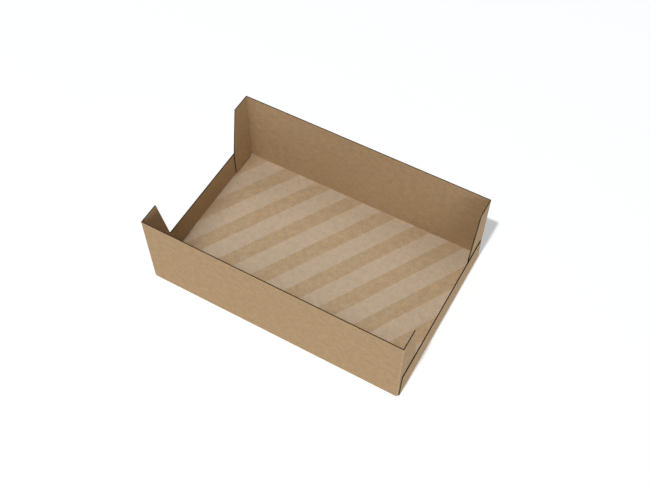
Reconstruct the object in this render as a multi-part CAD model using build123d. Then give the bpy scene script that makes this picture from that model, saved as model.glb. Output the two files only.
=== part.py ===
"""Open display tray, die-cut and folded from one sheet of kraft corrugated board and glued at its corners.

The front and back walls are tall and the side walls are low. A tapered flap at each end of the front
and back walls folds round the corner and is glued to the inner face of the side wall.
Millimetres. The origin is the middle of the floor's underside, the front wall faces -Y and +Z is up.
"""
import os

from build123d import *

# Overall size, over the outer faces of the walls
WIDTH = 300.0
DEPTH = 200.0
HEIGHT = 100.0
SIDE_HEIGHT = 35.0

# Board, and the radii of a scored fold
BOARD = 1.2
FOLD_INSIDE = 0.2
FOLD_OUTSIDE = 0.7

# Corner flaps, measured from the outer face of the wall that each one is hinged to
FLAP_TOP = 24.5
FLAP_FOOT = 35.9
FLAP_FLOOR_GAP = 1.0

# Ends of the side walls, measured from the outer faces of the front and back walls
SIDE_INSET_FOOT = 2.6
SIDE_INSET_TOP = 5.6

# What follows from the sizes above
FLAP_FACE = WIDTH / 2 - BOARD
FLAP_HINGE = FLAP_FACE - BOARD - FOLD_INSIDE
FLAP_BOTTOM = BOARD + FLAP_FLOOR_GAP


def channel(span, height):
    """Section of a strip of board with both its ends folded up, its floor lying on the X axis."""
    outer = span / 2
    inner = outer - BOARD
    with BuildSketch() as section:
        with BuildLine():
            outside = FilletPolyline(
                (-outer, height), (-outer, 0), (outer, 0), (outer, height), radius=FOLD_OUTSIDE
            )
            inside = FilletPolyline(
                (-inner, height), (-inner, BOARD), (inner, BOARD), (inner, height), radius=FOLD_INSIDE
            )
            Line(outside @ 0, inside @ 0)
            Line(outside @ 1, inside @ 1)
        make_face()
    return section.sketch


def across(outline):
    """Prism right across the tray in X, from an outline drawn in Y and Z."""
    return extrude(Plane.YZ * make_face(Polyline(*outline, close=True)), WIDTH, both=True)


def floor_and_tall_walls():
    """The front wall, the floor and the back wall, as far as the hinges of the corner flaps."""
    return extrude(Plane.YZ * channel(DEPTH, HEIGHT), FLAP_HINGE, both=True)


def low_side_walls():
    """The floor again, with the side walls, whose ends lean in towards the top."""
    strip = extrude(Plane.XZ * channel(WIDTH, SIDE_HEIGHT), DEPTH, both=True)
    foot = DEPTH / 2 - SIDE_INSET_FOOT
    top = DEPTH / 2 - SIDE_INSET_TOP
    return strip & across([(-foot, 0), (foot, 0), (top, SIDE_HEIGHT), (-top, SIDE_HEIGHT)])


def corner_flap():
    """The flap at the front wall's right end, with its fold and a short root inside the wall."""
    wall = -DEPTH / 2
    root = FLAP_HINGE - BOARD
    free = wall + FLAP_FOOT
    with BuildSketch() as section:
        with BuildLine():
            outside = FilletPolyline(
                (root, wall), (FLAP_FACE, wall), (FLAP_FACE, free), radius=FOLD_OUTSIDE
            )
            inside = FilletPolyline(
                (root, wall + BOARD),
                (FLAP_FACE - BOARD, wall + BOARD),
                (FLAP_FACE - BOARD, free),
                radius=FOLD_INSIDE,
            )
            Line(outside @ 0, inside @ 0)
            Line(outside @ 1, inside @ 1)
        make_face()
    folded = extrude(section.sketch, HEIGHT)
    outline = [
        (wall, FLAP_BOTTOM),
        (free, FLAP_BOTTOM),
        (free, SIDE_HEIGHT),
        (wall + FLAP_TOP, HEIGHT),
        (wall, HEIGHT),
    ]
    return folded & across(outline)


def corner_flaps():
    """All four flaps, mirrored from one."""
    right_front = corner_flap()
    right_back = mirror(right_front, about=Plane.XZ)
    right = [right_front, right_back]
    left = [mirror(flap, about=Plane.YZ) for flap in right]
    return right + left


def tray():
    """The whole sheet, with the glued faces of the flaps and side walls joined."""
    sheet = floor_and_tall_walls() + low_side_walls()
    for flap in corner_flaps():
        sheet += flap
    return sheet


os.makedirs("parts", exist_ok=True)
export_step(tray(), "parts/tray.step")
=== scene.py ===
"""The open display tray as it looks: corrugated kraft board with printed stripes, on a pale studio floor.

Each paper of the board is drawn flat, as it leaves the cutting die. A Geometry Nodes tree then gives it
its thickness and its flutes, and folds it up along the score lines.
"""
import math

import bmesh
import bpy
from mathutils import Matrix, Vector


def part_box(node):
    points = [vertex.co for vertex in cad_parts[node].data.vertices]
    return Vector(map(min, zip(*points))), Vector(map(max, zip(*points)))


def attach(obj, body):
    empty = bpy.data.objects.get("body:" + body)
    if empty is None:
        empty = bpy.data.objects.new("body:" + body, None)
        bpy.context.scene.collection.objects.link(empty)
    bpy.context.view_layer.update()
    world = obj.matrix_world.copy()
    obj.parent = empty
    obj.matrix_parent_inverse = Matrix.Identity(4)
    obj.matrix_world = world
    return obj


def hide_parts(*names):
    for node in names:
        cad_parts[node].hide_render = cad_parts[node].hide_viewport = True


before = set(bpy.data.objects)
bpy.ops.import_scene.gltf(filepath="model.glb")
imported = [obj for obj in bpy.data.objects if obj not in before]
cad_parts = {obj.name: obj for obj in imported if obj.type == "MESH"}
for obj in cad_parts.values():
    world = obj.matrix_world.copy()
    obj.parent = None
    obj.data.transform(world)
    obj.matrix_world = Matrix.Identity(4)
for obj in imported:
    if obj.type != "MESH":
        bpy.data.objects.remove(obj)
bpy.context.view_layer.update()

tray_low, tray_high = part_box("tray")

MM = 0.001

# Sizes of the folded tray, over its outer faces
WIDTH = tray_high.x - tray_low.x
DEPTH = tray_high.y - tray_low.y
HEIGHT = tray_high.z - tray_low.z
SIDE_HEIGHT = 35.0 * MM
BOARD = 1.2 * MM
FOLD_INSIDE = 0.2 * MM
FOLD_OUTSIDE = 0.7 * MM
FLAP_TOP = 24.5 * MM
FLAP_FOOT = 35.9 * MM
FLAP_FLOOR_GAP = 1.0 * MM
SIDE_INSET_FOOT = 2.6 * MM
SIDE_INSET_TOP = 5.6 * MM

# Where the flaps are hinged, and where the side walls end
FLAP_HINGE = WIDTH / 2 - 2 * BOARD - FOLD_INSIDE
SIDE_END_FOOT = DEPTH / 2 - SIDE_INSET_FOOT
SIDE_END_TOP = DEPTH / 2 - SIDE_INSET_TOP

# Papers of the board, how far the fluting stops short of the edges that run along it, and its tightest fold
LINER = 0.11 * MM
MEDIUM = 0.22 * MM
FLUTE_PITCH = 4.9 * MM
FLUTE_HEIGHT = (BOARD - MEDIUM) / 2 - LINER
FLUTE_RECESS = 0.8 * MM
CREST_FOLD = 0.1 * MM

# How finely the papers are divided, and how wide they are worn along cut edges and paler along folds, from
# wear and a painted highlight
FOLD_STEPS = 6
FLUTE_STEPS = 12
LINER_STEP = 6.0 * MM
WEAR_LINES = (0.4 * MM, 1.0 * MM, 2.0 * MM)
WEAR_WIDTH = WEAR_LINES[-1]
PALE_FOLD_WIDTH = 0.8 * MM
MERGE_DISTANCE = 0.001 * MM
SMOOTH_ANGLE = math.radians(35.0)

# Printed stripes on the floor, in millimetres, with their ragged edges and the uneven cover of the ink
STRIPE_PITCH = 37.05
STRIPE_WIDTH = 20.15
STRIPE_TURN = math.radians(-30.0)
STRIPE_SHIFT = 0.9
STRIPE_BLUR = 0.15
RAGGED_SIZE = 0.8
RAGGED_DEPTH = 0.5
INK_WHITE = (0.790, 0.784, 0.746, 1.0)
INK_COVER = 0.15
INK_GRAIN_SIZE = 0.5
INK_UNEVEN = 0.20 * INK_COVER

# Colours of the papers, as linear light
KRAFT_DARK = (0.314, 0.198, 0.100)
KRAFT_MIDDLE = (0.436, 0.294, 0.163)
KRAFT_PALE = (0.558, 0.400, 0.242)
OUTSIDE_TINT = (0.928, 0.920, 0.900)
INSIDE_TINT = (1.0, 1.0, 1.0)
# The printed floor is the inner liner's paper, tinted cooler and a little paler than the inner walls: painted
# light for the floor
PRINTED_PAINTED_LIGHT_TINT = (0.996, 1.056, 1.140)
# Liners' cut edges: paper a little darker than its faces, painted much darker as shade of the flute openings
LINER_CUT_SHADED = (0.060, 0.040, 0.022, 1.0)
FLUTE_CUT = (0.270, 0.188, 0.111, 1.0)
# Inside of the board, near black: painted shade for the deep hollows between the liners and the fluting
FLUTE_PAINTED_SHADE = (0.016, 0.010, 0.006, 1.0)

# Tone of the kraft paper: blotches, each with its size in millimetres and its strength, grain and specks
MIDDLE_TONE = 0.5
BLOTCHES = ((60.0, 0.10), (7.0, 0.55), (2.0, 0.65))
GRAIN_SIZE = 0.6
GRAIN_TONE = 0.50
SPECK_SIZE = 0.9
SPECK_HEART = -0.30
SPECK_RIM = -0.26
SPECK_TONE = -0.35

# Fibres: angle, length and width in millimetres, the noise level one starts at, and what it adds to the tone
FIBRES = (
    (0.4, 2.6, 0.16, 0.16, 0.14),
    (1.5, 2.2, 0.14, 0.17, 0.12),
    (2.6, 3.0, 0.18, 0.17, 0.12),
    (1.0, 2.4, 0.15, 0.18, -0.16),
    (2.1, 2.0, 0.16, 0.18, -0.14),
)
FIBRE_SWERVE = 1 / 3
FIBRE_BLUR = 0.06

# Wear along cut edges, wear with a painted highlight along folds, and drifts of the paper's colour from warm
# to cool
PALING_SIZE = 1.5
PALING_MEAN = 0.5
PALING_UNEVEN = 1.2
EDGE_WEAR = 0.10
WARMTH_SHIFT = Vector((37.0, 11.0, 0.0))
WARMTH_SIZE = 7.0
WARMTH_DETAIL = 5.0
WARMTH_ROUGHNESS = 1.0
WARMTH_RED = 0.46
WARMTH_BLUE = -1.02

# Surface of the kraft paper, with its cockles, and of raw paper, with its torn grain
KRAFT_ROUGHNESS = 0.86
KRAFT_UNEVEN = 0.2
KRAFT_SHEEN = 0.25
KRAFT_BUMP = 0.35
KRAFT_DEPTH = 0.03 * MM
FIBRE_RELIEF = 0.4
COCKLE_SIZE = 6.0
COCKLE_DETAIL = 3.0
COCKLE_RELIEF = 1.5
RAW_ROUGHNESS = 0.93
RAW_UNEVEN = 0.1
RAW_SHEEN = 0.15
RAW_BUMP = 0.5
RAW_DEPTH = 0.08 * MM
TORN_SIZE = 1.2
TORN_DETAIL = 3.0
TORN_SHADE = 0.8

# Studio floor, in metres from the tray to its edges, with its colours as linear light
FLOOR_REACH = 40.0
FLOOR_WHITE = (0.98, 0.98, 0.98, 1.0)
FLOOR_GLOW_COLOUR = (0.98, 1.03, 1.08, 1.0)
FLOOR_GLOW = 0.297

# Key light: its place, its width, and its strength on the tray and on the studio floor
KEY_PLACE = Vector((-0.15, -5.215, 10.44))
KEY_WIDTH = 0.42
KEY_ON_TRAY = 1.20
KEY_ON_FLOOR = 1.76

# Broad lights on the tray: strength, width in degrees, and the azimuth from +X and elevation each shines from
BROAD_LIGHTS = {
    "soft_key": (0.68, 18.0, 256.0, 63.0),
    "low_right_fill": (0.54, 30.0, 320.0, 10.0),
    "right_fill": (0.455, 50.0, 335.0, 15.0),
    "back_fill": (0.67, 30.0, 150.0, 55.0),
}
WORLD_WHITE = (1.0, 1.0, 1.0, 1.0)
WORLD_LIGHT = 0.225

# Camera: its place in metres, its turns in degrees, and its sensor and lens in millimetres
CAMERA_PLACE = (0.281779, -0.483925, 0.855776)
CAMERA_TURNS = (34.2869, 0.0041, 29.4333)
CAMERA_SENSOR = 36.0
CAMERA_LENS = 51.058

FLOAT = "NodeSocketFloat"
GEOMETRY = "NodeSocketGeometry"
MATERIAL = "NodeSocketMaterial"


def give(tree, socket, value):
    """Links another node's output to this input, or sets the input to a plain value."""
    if isinstance(value, bpy.types.NodeSocket):
        tree.links.new(value, socket)
    else:
        socket.default_value = value


def add(tree, kind, inputs=None, **settings):
    """A new node, with its properties set and its inputs given values or linked."""
    made = tree.nodes.new(kind)
    for name, value in settings.items():
        setattr(made, name, value)
    for socket, value in (inputs or {}).items():
        give(tree, made.inputs[socket], value)
    return made


def add_typed(tree, kind, values, **settings):
    """The result of a node that shows only the sockets of its data type, given values in their order."""
    made = add(tree, kind, **settings)
    shown = [socket for socket in made.inputs if socket.enabled]
    for socket, value in zip(shown, values):
        give(tree, socket, value)
    return next(socket for socket in made.outputs if socket.enabled)


def compute(tree, operation, *values):
    """The result of a Math node."""
    return add(tree, "ShaderNodeMath", dict(enumerate(values)), operation=operation).outputs[0]


def fade(tree, value, start, end):
    """1 up to the start, falling evenly to 0 at the end. The start may lie past the end."""
    inputs = {"Value": value, "From Min": start, "From Max": end, "To Min": 1.0, "To Max": 0.0}
    return add(tree, "ShaderNodeMapRange", inputs).outputs["Result"]


# Flat papers


class Fold:
    """How one paper folds: its radius, as it would be in the middle of the board, and its score lines."""

    def __init__(self, radius):
        self.radius = radius
        self.run = radius * math.pi / 2
        self.outside = radius + BOARD / 2
        self.side_score = WIDTH / 2 - self.outside
        self.flap_score = WIDTH / 2 - BOARD - self.outside
        self.wall_score = DEPTH / 2 - self.outside

    def flat(self, score, reach):
        """Where a point lies on the flat sheet that folding brings this far from the outside of the fold."""
        return score + self.run + reach - self.outside

    def lines(self, score):
        """Lines across a fold: its steps, and the ends of the pale strip along it, worn and with a painted
        highlight.
        """
        bend = [score + self.run * k / FOLD_STEPS for k in range(FOLD_STEPS + 1)]
        return [score - PALE_FOLD_WIDTH] + bend + [score + self.run + PALE_FOLD_WIDTH]


def inner_lines(start, end):
    """Lines that run beside an edge of the sheet, inside it, as a point and a direction across them."""
    edge = Vector((end[0] - start[0], end[1] - start[1], 0))
    inwards = Vector((-edge.y, edge.x, 0)).normalized()
    return [(Vector((*start, 0)) + inwards * inset, inwards) for inset in WEAR_LINES]


def spaced(low, high, step):
    """Places between low and high, evenly spaced by about one step."""
    count = max(1, round((high - low) / step))
    return [low + (high - low) * k / count for k in range(1, count)]


def cut(sheet, faces, point, direction):
    """Divides these faces of the sheet along a line."""
    edges = {edge for face in faces for edge in face.edges}
    corners = {corner for face in faces for corner in face.verts}
    geometry = list(faces) + list(edges) + list(corners)
    bmesh.ops.bisect_plane(sheet, geom=geometry, plane_co=point, plane_no=direction, dist=MERGE_DISTANCE)


def add_panel(sheet, outline, across, along, slanted=(), root=0.0):
    """Adds one panel to the flat sheet and divides it along lines both ways.

    Beyond its root it is also divided beside its slanted edges.
    """
    before = set(sheet.faces)
    sheet.faces.new([sheet.verts.new((x, y, 0)) for x, y in outline])
    lines = [((x, 0, 0), (1, 0, 0)) for x in across]
    lines += [((0, y, 0), (0, 1, 0)) for y in along]
    for point, direction in lines:
        cut(sheet, set(sheet.faces) - before, point, direction)
    for start, end in slanted:
        for point, direction in inner_lines(start, end):
            added = set(sheet.faces) - before
            free = {face for face in added if abs(face.calc_center_median().x) > root}
            cut(sheet, free, point, direction)


def flat_paper(name, fold, step, worn, recess=0.0):
    """The whole sheet, flat, divided finely enough to be fluted and folded.

    A worn sheet also has lines beside its cut edges. The recess shortens the side walls and the flaps.
    """
    wear = WEAR_LINES if worn else ()
    wall_edge = fold.flat(fold.wall_score, HEIGHT)
    side_root = fold.flat(fold.side_score, 0)
    side_edge = fold.flat(fold.side_score, SIDE_HEIGHT - recess)
    flap_foot = fold.flat(fold.flap_score, FLAP_FOOT - recess)
    flap_top = fold.flat(fold.flap_score, FLAP_TOP)
    flap_bottom = fold.flat(fold.wall_score, BOARD + FLAP_FLOOR_GAP)
    flap_kink = fold.flat(fold.wall_score, SIDE_HEIGHT)
    strip = [
        (FLAP_HINGE, wall_edge),
        (-FLAP_HINGE, wall_edge),
        (-FLAP_HINGE, -wall_edge),
        (FLAP_HINGE, -wall_edge),
    ]
    side = [
        (FLAP_HINGE, -SIDE_END_FOOT),
        (side_root, -SIDE_END_FOOT),
        (side_edge, -SIDE_END_TOP),
        (side_edge, SIDE_END_TOP),
        (side_root, SIDE_END_FOOT),
        (FLAP_HINGE, SIDE_END_FOOT),
    ]
    flap = [
        (FLAP_HINGE, flap_bottom),
        (flap_foot, flap_bottom),
        (flap_foot, flap_kink),
        (flap_top, wall_edge),
        (FLAP_HINGE, wall_edge),
    ]
    along = fold.lines(fold.wall_score) + [SIDE_END_FOOT, flap_bottom, flap_kink]
    if worn:
        along += [flap_bottom + inset for inset in wear]
        along += [wall_edge - inset for inset in wear]
        along += spaced(flap_kink, wall_edge - WEAR_WIDTH, step)
        along += spaced(0, fold.wall_score - WEAR_WIDTH, step)
    along += [-y for y in along]
    rubbed = fold.flap_score - PALE_FOLD_WIDTH
    strip_across = spaced(-rubbed, rubbed, step) + [-rubbed, rubbed]
    side_across = fold.lines(fold.side_score) + [side_edge - inset for inset in wear]
    side_across += spaced(fold.side_score + fold.run, side_edge - WEAR_WIDTH, step)
    flap_across = fold.lines(fold.flap_score) + [flap_foot - inset for inset in wear]
    flap_across += spaced(fold.flap_score + fold.run, flap_foot - WEAR_WIDTH, step)

    sheet = bmesh.new()
    add_panel(sheet, strip, strip_across, along)
    for turn in (1, -1):
        outline = [(x * turn, y * turn) for x, y in side]
        ends = [outline[1:3], outline[3:5]] if worn else []
        add_panel(sheet, outline, [x * turn for x in side_across], along, ends, side_root)
    for across in (1, -1):
        for upward in (1, -1):
            outline = [(x * across, y * upward) for x, y in flap]
            ends = [outline[2:4]] if worn else []
            if across != upward:
                outline.reverse()
                ends = [end[::-1] for end in ends]
            add_panel(sheet, outline, [x * across for x in flap_across], along, ends, side_root)
    bmesh.ops.remove_doubles(sheet, verts=sheet.verts, dist=MERGE_DISTANCE)
    mesh = bpy.data.meshes.new(name)
    sheet.to_mesh(mesh)
    sheet.free()
    return mesh


# Fluting and folding


def new_tree(name, inputs, outputs):
    """A Geometry Nodes tree, with the sockets that its nodes read from and end in."""
    tree = bpy.data.node_groups.new(name, "GeometryNodeTree")
    for label, kind in inputs.items():
        tree.interface.new_socket(label, in_out="INPUT", socket_type=kind)
    for label, kind in outputs.items():
        tree.interface.new_socket(label, in_out="OUTPUT", socket_type=kind)
    return tree, add(tree, "NodeGroupInput").outputs, add(tree, "NodeGroupOutput").inputs


def bend_tree():
    """Tree that bends a sheet upwards at a score line, on both sides of its middle."""
    tree, given, result = new_tree(
        "Bend at a score",
        {"Distance": FLOAT, "Height": FLOAT, "Score": FLOAT, "Radius": FLOAT, "Pale fold width": FLOAT},
        {"Distance": FLOAT, "Height": FLOAT, "Crease": FLOAT},
    )
    far = compute(tree, "ABSOLUTE", given["Distance"])
    past = compute(tree, "SUBTRACT", far, given["Score"])
    bent = compute(tree, "MAXIMUM", past, 0.0)
    run = compute(tree, "MULTIPLY", given["Radius"], math.pi / 2)
    angle = compute(tree, "MINIMUM", compute(tree, "DIVIDE", bent, given["Radius"]), math.pi / 2)
    beyond = compute(tree, "SUBTRACT", past, run)
    straight = compute(tree, "MAXIMUM", beyond, 0.0)
    lever = compute(tree, "SUBTRACT", given["Radius"], given["Height"])
    level = compute(tree, "MINIMUM", far, given["Score"])
    reach = compute(tree, "MULTIPLY_ADD", lever, compute(tree, "SINE", angle), level)
    out = compute(tree, "MULTIPLY", reach, compute(tree, "SIGN", given["Distance"]))
    drop = compute(tree, "MULTIPLY", lever, compute(tree, "COSINE", angle))
    risen = compute(tree, "SUBTRACT", given["Radius"], drop)
    short = compute(tree, "MULTIPLY", past, -1.0)
    away = compute(tree, "MAXIMUM", short, beyond)
    tree.links.new(out, result["Distance"])
    tree.links.new(compute(tree, "ADD", risen, straight), result["Height"])
    tree.links.new(fade(tree, away, 0.0, given["Pale fold width"]), result["Crease"])
    return tree


def compare(tree, operation, kind, first, second):
    """The result of a Compare node, for whole numbers or fractions."""
    return add_typed(tree, "FunctionNodeCompare", (first, second), operation=operation, data_type=kind)


def store(tree, geometry, name, value, kind, domain="POINT"):
    """The geometry, with a named attribute added to it."""
    inputs = {"Geometry": geometry, "Name": name, "Value": value}
    made = add(tree, "GeometryNodeStoreNamedAttribute", inputs, data_type=kind, domain=domain)
    return made.outputs["Geometry"]


def stored(tree, name, kind):
    """A named attribute."""
    return add(tree, "GeometryNodeInputNamedAttribute", {"Name": name}, data_type=kind).outputs["Attribute"]


def both(tree, first, second):
    """Where two selections overlap."""
    return add(tree, "FunctionNodeBooleanMath", {0: first, 1: second}, operation="AND").outputs[0]


def moved(tree, geometry, **where):
    """The geometry, with its points at a new Position or moved by an Offset."""
    return add(tree, "GeometryNodeSetPosition", {"Geometry": geometry, **where}).outputs["Geometry"]


def marked_sheet(tree, given, place):
    """The flat sheet, marked with how near each point is to a cut edge and with its flat place."""
    beside = add(tree, "GeometryNodeInputMeshEdgeNeighbors").outputs["Face Count"]
    inputs = {"Geometry": given["Geometry"], "Selection": compare(tree, "EQUAL", "INT", beside, 1)}
    rim = add(tree, "GeometryNodeSeparateGeometry", inputs, domain="EDGE")
    near = add(tree, "GeometryNodeProximity", {0: rim.outputs["Selection"]}, target_element="EDGES")
    worn = fade(tree, near.outputs["Distance"], 0.0, given["Worn width"])
    sheet = store(tree, given["Geometry"], "cut_edge", worn, "FLOAT")
    return store(tree, sheet, "flat_place", place, "FLOAT_VECTOR")


def thick_paper(tree, given, sheet):
    """The sheet extruded upwards, and closed below by the sheet itself turned over."""
    raised = add(tree, "GeometryNodeExtrudeMesh", {"Mesh": sheet, "Offset Scale": given["Paper thickness"]})
    raised.inputs["Individual"].default_value = False
    thick = store(tree, raised.outputs["Mesh"], "cut_face", raised.outputs["Side"], "BOOLEAN", "FACE")
    thick = store(tree, thick, "upper_face", raised.outputs["Top"], "BOOLEAN", "FACE")
    under = add(tree, "GeometryNodeFlipFaces", {"Mesh": sheet}).outputs["Mesh"]
    joined = add(tree, "GeometryNodeJoinGeometry", {"Geometry": under})
    tree.links.new(thick, joined.inputs["Geometry"])
    inputs = {"Geometry": joined.outputs["Geometry"], "Distance": MERGE_DISTANCE}
    return add(tree, "GeometryNodeMergeByDistance", inputs).outputs["Geometry"]


def fluted_paper(tree, given, thick, place):
    """The paper lifted into place and fluted. One crest lies a quarter pitch to the left of the middle."""
    sheet_x = add(tree, "ShaderNodeSeparateXYZ", {"Vector": place}).outputs["X"]
    turns = compute(tree, "DIVIDE", sheet_x, given["Flute pitch"])
    wave = compute(tree, "SINE", compute(tree, "MULTIPLY", turns, -2 * math.pi))
    rise = compute(tree, "MULTIPLY_ADD", wave, given["Flute height"], given["Lift"])
    return moved(tree, thick, Offset=add(tree, "ShaderNodeCombineXYZ", {"Z": rise}).outputs["Vector"])


def folded_paper(tree, given, fluted, place):
    """The paper folded: the side walls and the corner flaps first, then the tall walls with their flaps."""
    x, y, z = add(tree, "ShaderNodeSeparateXYZ", {"Vector": place}).outputs
    on_wall = compare(tree, "GREATER_THAN", "FLOAT", compute(tree, "ABSOLUTE", y), given["Wall score"])
    choices = {"Switch": on_wall, "False": given["Side score"], "True": given["Flap score"]}
    score = add(tree, "GeometryNodeSwitch", choices, input_type="FLOAT").outputs["Output"]
    bend = bend_tree()
    shared = {"Radius": given["Fold radius"], "Pale fold width": given["Pale fold width"]}
    inputs = {"Distance": x, "Height": z, "Score": score, **shared}
    sides = add(tree, "GeometryNodeGroup", inputs, node_tree=bend).outputs
    inputs = {"Distance": y, "Height": sides["Height"], "Score": given["Wall score"], **shared}
    walls = add(tree, "GeometryNodeGroup", inputs, node_tree=bend).outputs
    crease = compute(tree, "MAXIMUM", sides["Crease"], walls["Crease"])
    creased = store(tree, fluted, "crease", crease, "FLOAT")
    height = compute(tree, "MULTIPLY_ADD", given["Board thickness"], 0.5, walls["Height"])
    corner = {"X": sides["Distance"], "Y": walls["Distance"], "Z": height}
    return moved(tree, creased, Position=add(tree, "ShaderNodeCombineXYZ", corner).outputs["Vector"])


def finished_paper(tree, given, folded):
    """The folded paper, with a material on each kind of face."""
    flat_place = stored(tree, "flat_place", "FLOAT_VECTOR")
    flat = add(tree, "ShaderNodeSeparateXYZ", {"Vector": flat_place}).outputs
    within = [
        compare(tree, "LESS_THAN", "FLOAT", compute(tree, "ABSOLUTE", flat[axis]), given[score])
        for axis, score in (("X", "Side score"), ("Y", "Wall score"))
    ]
    upper = stored(tree, "upper_face", "BOOLEAN")
    finished = add(tree, "GeometryNodeRealizeInstances", {"Geometry": folded}).outputs["Geometry"]
    for label, where in (
        ("Lower face", True),
        ("Upper face", upper),
        ("Printed face", both(tree, upper, both(tree, *within))),
        ("Cut face", stored(tree, "cut_face", "BOOLEAN")),
    ):
        inputs = {"Geometry": finished, "Selection": where, "Material": given[label]}
        finished = add(tree, "GeometryNodeSetMaterial", inputs).outputs["Geometry"]
    return finished


def paper_tree():
    """Tree that makes one paper of the folded board from the flat sheet."""
    sizes = (
        "Paper thickness",
        "Lift",
        "Flute pitch",
        "Flute height",
        "Board thickness",
        "Fold radius",
        "Side score",
        "Flap score",
        "Wall score",
        "Worn width",
        "Pale fold width",
    )
    faces = ("Upper face", "Printed face", "Lower face", "Cut face")
    tree, given, result = new_tree(
        "Make paper",
        {"Geometry": GEOMETRY, **dict.fromkeys(sizes, FLOAT), **dict.fromkeys(faces, MATERIAL)},
        {"Geometry": GEOMETRY},
    )
    place = add(tree, "GeometryNodeInputPosition").outputs["Position"]
    sheet = marked_sheet(tree, given, place)
    thick = thick_paper(tree, given, sheet)
    fluted = fluted_paper(tree, given, thick, place)
    folded = folded_paper(tree, given, fluted, place)
    tree.links.new(finished_paper(tree, given, folded), result["Geometry"])
    return tree


def make_piece(name, flat_mesh, tree, values):
    """Runs the tree on a flat sheet and keeps what it makes as a plain mesh."""
    drawn = bpy.data.objects.new(name + "_flat", flat_mesh)
    bpy.context.scene.collection.objects.link(drawn)
    modifier = drawn.modifiers.new("Make paper", "NODES")
    modifier.node_group = tree
    for item in tree.interface.items_tree:
        if item.in_out == "INPUT" and item.name in values:
            modifier[item.identifier] = values[item.name]
    made = bpy.data.meshes.new_from_object(drawn.evaluated_get(bpy.context.evaluated_depsgraph_get()))
    bpy.data.objects.remove(drawn)
    made.name = name
    made.shade_smooth()
    made.set_sharp_from_angle(angle=SMOOTH_ANGLE)
    piece = bpy.data.objects.new(name, made)
    bpy.context.scene.collection.objects.link(piece)
    return piece


# Materials


def new_material(name):
    """An empty material, with its tree, and its shader joined to the surface output."""
    material = bpy.data.materials.new(name)
    material.use_nodes = True
    tree = material.node_tree
    tree.nodes.clear()
    shader = add(tree, "ShaderNodeBsdfPrincipled")
    add(tree, "ShaderNodeOutputMaterial", {"Surface": shader.outputs["BSDF"]})
    return material, tree, shader


def paper_place(tree, shift=(0.0, 0.0, 0.0)):
    """The place on the flat sheet, in millimetres, shifted to a stretch of paper with its own grain."""
    place = add(tree, "ShaderNodeAttribute", attribute_name="flat_place").outputs["Vector"]
    inputs = {"Vector": place, "Location": shift, "Scale": (1 / MM, 1 / MM, 1 / MM)}
    return add(tree, "ShaderNodeMapping", inputs).outputs["Vector"]


def noise(tree, place, size, detail=2.0, roughness=0.5):
    """Soft noise about 0, with blotches of this size in millimetres."""
    inputs = {"Vector": place, "Scale": 1.0 / size, "Detail": detail, "Roughness": roughness}
    made = add(tree, "ShaderNodeTexNoise", inputs).outputs["Fac"]
    return compute(tree, "SUBTRACT", made, 0.5)


def fibres(tree, place, angle, length, width, rare):
    """Fibres that lie along one direction: 1 on a fibre, 0 off it.

    Rare is the noise level that a fibre starts at.
    """
    wander = add(tree, "ShaderNodeTexNoise", {"Vector": place, "Scale": 1.0 / length}).outputs["Color"]
    swerve = (length * FIBRE_SWERVE, length * FIBRE_SWERVE, 0.0)
    swerved = add(tree, "ShaderNodeVectorMath", {0: wander, 1: swerve, 2: place}, operation="MULTIPLY_ADD")
    inputs = {"Vector": swerved.outputs["Vector"], "Rotation": (0, 0, angle), "Scale": (length, width, 1.0)}
    turned = add(tree, "ShaderNodeMapping", inputs, vector_type="TEXTURE").outputs["Vector"]
    return fade(tree, noise(tree, turned, 1.0, detail=1.0), rare + FIBRE_BLUR, rare)


def mix(tree, blend, amount, first, second):
    """The colour that a Mix node makes of two colours."""
    return add_typed(tree, "ShaderNodeMix", (amount, first, second), data_type="RGBA", blend_type=blend)


def attribute(tree, name):
    """A fraction that was stored on the mesh."""
    return add(tree, "ShaderNodeAttribute", attribute_name=name).outputs["Fac"]


def stripes(tree, place):
    """How much pale ink lies here: full on the stripes, a little uneven, none between them."""
    inputs = {"Vector": place, "Rotation": (0, 0, -STRIPE_TURN)}
    across = add(tree, "ShaderNodeMapping", inputs).outputs["Vector"]
    distance = add(tree, "ShaderNodeSeparateXYZ", {"Vector": across}).outputs["X"]
    ragged = compute(tree, "MULTIPLY", noise(tree, place, RAGGED_SIZE), RAGGED_DEPTH)
    shifted = compute(tree, "ADD", compute(tree, "SUBTRACT", distance, STRIPE_SHIFT), ragged)
    off_centre = compute(tree, "PINGPONG", shifted, STRIPE_PITCH / 2)
    inked = fade(tree, off_centre, STRIPE_WIDTH / 2 - STRIPE_BLUR, STRIPE_WIDTH / 2 + STRIPE_BLUR)
    cover = compute(tree, "MULTIPLY_ADD", noise(tree, place, INK_GRAIN_SIZE), INK_UNEVEN, INK_COVER)
    return compute(tree, "MULTIPLY", inked, cover)


def paper_tone(tree, place, grain, texture):
    """The paper's tone, from dark at 0 to pale at 1, and where its fibres lie."""
    tone = compute(tree, "MULTIPLY_ADD", grain, GRAIN_TONE, MIDDLE_TONE)
    for size, strength in BLOTCHES:
        tone = compute(tree, "MULTIPLY_ADD", noise(tree, place, size), strength, tone)
    threads = 0.0
    for angle, length, width, rare, strength in FIBRES:
        found = fibres(tree, place, angle, length, width, rare)
        tone = compute(tree, "MULTIPLY_ADD", found, strength, tone)
        threads = compute(tree, "ADD", found, threads)
    specks = fade(tree, noise(tree, place, SPECK_SIZE, detail=0.0), SPECK_HEART, SPECK_RIM)
    tone = compute(tree, "MULTIPLY_ADD", specks, SPECK_TONE, tone)
    off_middle = compute(tree, "SUBTRACT", tone, MIDDLE_TONE)
    return compute(tree, "MULTIPLY_ADD", off_middle, texture, MIDDLE_TONE), threads


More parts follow.
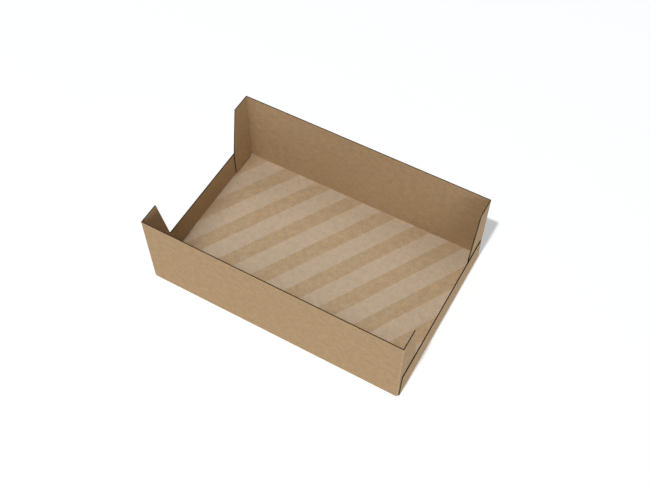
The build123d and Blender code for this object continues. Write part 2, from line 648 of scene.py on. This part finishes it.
def worn_and_highlit_tone(tree, place, tone, fold_wear_and_highlight):
    """The tone, made paler along the paper's cut edges, where it is worn, and along its folds, where it is
    worn and carries a painted highlight.
    """
    rubbed = compute(tree, "MULTIPLY_ADD", noise(tree, place, PALING_SIZE), PALING_UNEVEN, PALING_MEAN)
    for name, strength in (("crease", fold_wear_and_highlight), ("cut_edge", EDGE_WEAR)):
        wear = compute(tree, "MULTIPLY", attribute(tree, name), rubbed)
        tone = compute(tree, "MULTIPLY_ADD", wear, strength, tone)
    return tone


def kraft_colour(tree, tone, tint, shift):
    """Dark to pale brown, tinted, and drifting from warm to cool."""
    ramp = add(tree, "ShaderNodeValToRGB", {"Fac": tone})
    ramp.color_ramp.elements.new(MIDDLE_TONE)
    for element, shade in zip(ramp.color_ramp.elements, (KRAFT_DARK, KRAFT_MIDDLE, KRAFT_PALE)):
        element.color = (*[part * gain for part, gain in zip(shade, tint)], 1.0)
    drift = paper_place(tree, Vector(shift) + WARMTH_SHIFT)
    warmth = noise(tree, drift, WARMTH_SIZE, WARMTH_DETAIL, WARMTH_ROUGHNESS)
    red = compute(tree, "MULTIPLY_ADD", warmth, WARMTH_RED, 1.0)
    blue = compute(tree, "MULTIPLY_ADD", warmth, WARMTH_BLUE, 1.0)
    hue = add(tree, "ShaderNodeCombineColor", {"Red": red, "Green": 1.0, "Blue": blue}).outputs["Color"]
    return mix(tree, "MULTIPLY", 1.0, ramp.outputs["Color"], hue)


def set_surface(tree, shader, colour, roughness, sheen):
    """Gives the shader a paper's colour, roughness and sheen."""
    give(tree, shader.inputs["Base Color"], colour)
    give(tree, shader.inputs["Roughness"], roughness)
    give(tree, shader.inputs["Specular IOR Level"], sheen)


def set_relief(tree, shader, height, strength, depth):
    """Gives the shader a fine relief."""
    bump = add(tree, "ShaderNodeBump", {"Height": height, "Strength": strength, "Distance": depth})
    give(tree, shader.inputs["Normal"], bump.outputs["Normal"])


def kraft(name, shift, fold_wear_and_highlight, tint, texture=1.0, printed=False):
    """Kraft liner: clouded brown paper with light and dark fibres, worn pale along cut edges, and pale along
    folds from wear and a painted highlight.
    """
    material, tree, shader = new_material(name)
    place = paper_place(tree, shift)
    grain = noise(tree, place, GRAIN_SIZE)
    tone, threads = paper_tone(tree, place, grain, texture)
    colour = kraft_colour(tree, worn_and_highlit_tone(tree, place, tone, fold_wear_and_highlight), tint, shift)
    if printed:
        colour = mix(tree, "MIX", stripes(tree, paper_place(tree)), colour, INK_WHITE)
    roughness = compute(tree, "MULTIPLY_ADD", grain, KRAFT_UNEVEN, KRAFT_ROUGHNESS)
    set_surface(tree, shader, colour, roughness, KRAFT_SHEEN)
    relief = compute(tree, "MULTIPLY_ADD", threads, FIBRE_RELIEF, grain)
    cockles = noise(tree, place, COCKLE_SIZE, COCKLE_DETAIL)
    relief = compute(tree, "MULTIPLY_ADD", cockles, COCKLE_RELIEF, relief)
    set_relief(tree, shader, relief, KRAFT_BUMP, KRAFT_DEPTH)
    return material


def raw_paper(name, shift, colour):
    """Cut edges and the inside of the board: darker paper, with a coarse torn grain. The colours for the
    inside of the board and the liners' cut edges carry painted shade.
    """
    material, tree, shader = new_material(name)
    coarse = noise(tree, paper_place(tree, shift), TORN_SIZE, TORN_DETAIL)
    shade = compute(tree, "MULTIPLY_ADD", coarse, TORN_SHADE, 1.0)
    grey = add(tree, "ShaderNodeCombineColor", {0: shade, 1: shade, 2: shade}).outputs["Color"]
    roughness = compute(tree, "MULTIPLY_ADD", coarse, RAW_UNEVEN, RAW_ROUGHNESS)
    set_surface(tree, shader, mix(tree, "MULTIPLY", 1.0, colour, grey), roughness, RAW_SHEEN)
    set_relief(tree, shader, coarse, RAW_BUMP, RAW_DEPTH)
    return material


# The inner liner is one paper, so its bare and its printed face have the same shift
outer_shift = (0.0, 0.0, 0.0)
inner_shift = (410.0, 260.0, 0.0)
# Outside, the folds are painted much paler than inside: wear, with a painted highlight along the fold's edge
outside = kraft("kraft_outside", outer_shift, fold_wear_and_highlight=0.35, tint=OUTSIDE_TINT)
inside = kraft("kraft_inside", inner_shift, fold_wear_and_highlight=0.06, tint=INSIDE_TINT, texture=0.92)
# The printed floor's own tint is painted light, as it is the same paper as the inner walls
floor_print = kraft(
    "kraft_printed", inner_shift, fold_wear_and_highlight=0.06, tint=PRINTED_PAINTED_LIGHT_TINT, texture=1.12, printed=True
)
liner_cut_shaded = raw_paper("liner_cut_edge_painted_shade", (70.0, 530.0, 0.0), LINER_CUT_SHADED)
flute_cut = raw_paper("flute_cut_edge", (240.0, 710.0, 0.0), FLUTE_CUT)
flute_shade_paper = raw_paper("kraft_flute_painted_shade", (660.0, 90.0, 0.0), FLUTE_PAINTED_SHADE)


# The three papers of the board


def paper(fold, own):
    """What one paper of the board needs to be made: its own values, its fold, and what all three share."""
    return {
        "Flute pitch": FLUTE_PITCH,
        "Board thickness": BOARD,
        "Fold radius": fold.radius,
        "Side score": fold.side_score,
        "Flap score": fold.flap_score,
        "Wall score": fold.wall_score,
        "Worn width": WEAR_WIDTH,
        "Pale fold width": PALE_FOLD_WIDTH,
        **own,
    }


outer_fold = Fold(FOLD_OUTSIDE - BOARD / 2)
inner_fold = Fold(FOLD_INSIDE + BOARD / 2)
medium_fold = Fold(CREST_FOLD + BOARD / 2 - LINER)
outer_liner = paper(outer_fold, {
    "Paper thickness": LINER,
    "Lift": -BOARD / 2,
    "Flute height": 0.0,
    "Upper face": flute_shade_paper,
    "Printed face": flute_shade_paper,
    "Lower face": outside,
    "Cut face": liner_cut_shaded,
})
inner_liner = paper(inner_fold, {
    "Paper thickness": LINER,
    "Lift": BOARD / 2 - LINER,
    "Flute height": 0.0,
    "Upper face": inside,
    "Printed face": floor_print,
    "Lower face": flute_shade_paper,
    "Cut face": liner_cut_shaded,
})
fluted_medium = paper(medium_fold, {
    "Paper thickness": MEDIUM,
    "Lift": -MEDIUM / 2,
    "Flute height": FLUTE_HEIGHT,
    "Upper face": flute_shade_paper,
    "Printed face": flute_shade_paper,
    "Lower face": flute_shade_paper,
    "Cut face": flute_cut,
})
flute_step = FLUTE_PITCH / FLUTE_STEPS
outer_sheet = flat_paper("outer_sheet", outer_fold, LINER_STEP, worn=True)
inner_sheet = flat_paper("inner_sheet", inner_fold, LINER_STEP, worn=True)
medium_sheet = flat_paper("medium_sheet", medium_fold, flute_step, worn=False, recess=FLUTE_RECESS)
make_paper = paper_tree()
for name, sheet, values in (
    ("outer_liner", outer_sheet, outer_liner),
    ("inner_liner", inner_sheet, inner_liner),
    ("fluted_medium", medium_sheet, fluted_medium),
):
    piece = make_piece(name, sheet, make_paper, values)
    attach(piece, "root")
    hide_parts("tray")

# Studio floor
floor_material, floor_tree, floor_shader = new_material("studio_floor")
set_surface(floor_tree, floor_shader, FLOOR_WHITE, roughness=1.0, sheen=0.0)
give(floor_tree, floor_shader.inputs["Emission Color"], FLOOR_GLOW_COLOUR)
give(floor_tree, floor_shader.inputs["Emission Strength"], FLOOR_GLOW)
floor_mesh = bpy.data.meshes.new("studio_floor")
floor_corners = [(x * FLOOR_REACH, y * FLOOR_REACH, 0) for x, y in ((-1, -1), (1, -1), (1, 1), (-1, 1))]
floor_mesh.from_pydata(floor_corners, [], [(0, 1, 2, 3)])
floor_mesh.materials.append(floor_material)
floor = bpy.data.objects.new("studio_floor", floor_mesh)
bpy.context.scene.collection.objects.link(floor)

# The tray and the floor are lit apart, so that the floor is white up to the tray and shows one shadow
floor_only = bpy.data.collections.new("floor_only")
all_but_floor = bpy.data.collections.new("all_but_floor")
for collection, state in ((floor_only, "INCLUDE"), (all_but_floor, "EXCLUDE")):
    collection.objects.link(floor)
    collection.collection_objects[0].light_linking.link_state = state


def add_lamp(light, strength, rotation, lit):
    """A lamp that lights only what this collection says."""
    light.energy = strength
    lamp = bpy.data.objects.new(light.name, light)
    lamp.rotation_euler = rotation
    lamp.light_linking.receiver_collection = lit
    bpy.context.scene.collection.objects.link(lamp)
    return lamp


for name, (strength, width, azimuth, elevation) in BROAD_LIGHTS.items():
    light = bpy.data.lights.new(name, "SUN")
    light.angle = math.radians(width)
    add_lamp(light, strength, (math.radians(90 - elevation), 0, math.radians(90 + azimuth)), all_but_floor)
key_turn = KEY_PLACE.to_track_quat("Z", "Y").to_euler()
for name, strength, lit in (
    ("key_on_tray", KEY_ON_TRAY, all_but_floor),
    ("key_on_floor", KEY_ON_FLOOR, floor_only),
):
    light = bpy.data.lights.new(name, "AREA")
    light.shape = "DISK"
    light.size = KEY_WIDTH
    lamp = add_lamp(light, strength * math.pi * KEY_PLACE.length_squared, key_turn, lit)
    lamp.location = KEY_PLACE

world = bpy.data.worlds.new("studio")
world.use_nodes = True
background = world.node_tree.nodes["Background"]
background.inputs["Color"].default_value = WORLD_WHITE
background.inputs["Strength"].default_value = WORLD_LIGHT
bpy.context.scene.world = world

# Camera
camera = bpy.data.cameras.new("camera")
camera.sensor_width = CAMERA_SENSOR
camera.lens = CAMERA_LENS
camera_object = bpy.data.objects.new("camera", camera)
camera_object.location = CAMERA_PLACE
camera_object.rotation_euler = [math.radians(turn) for turn in CAMERA_TURNS]
bpy.context.scene.collection.objects.link(camera_object)
bpy.context.scene.camera = camera_object
bpy.context.scene.view_settings.view_transform = "Standard"
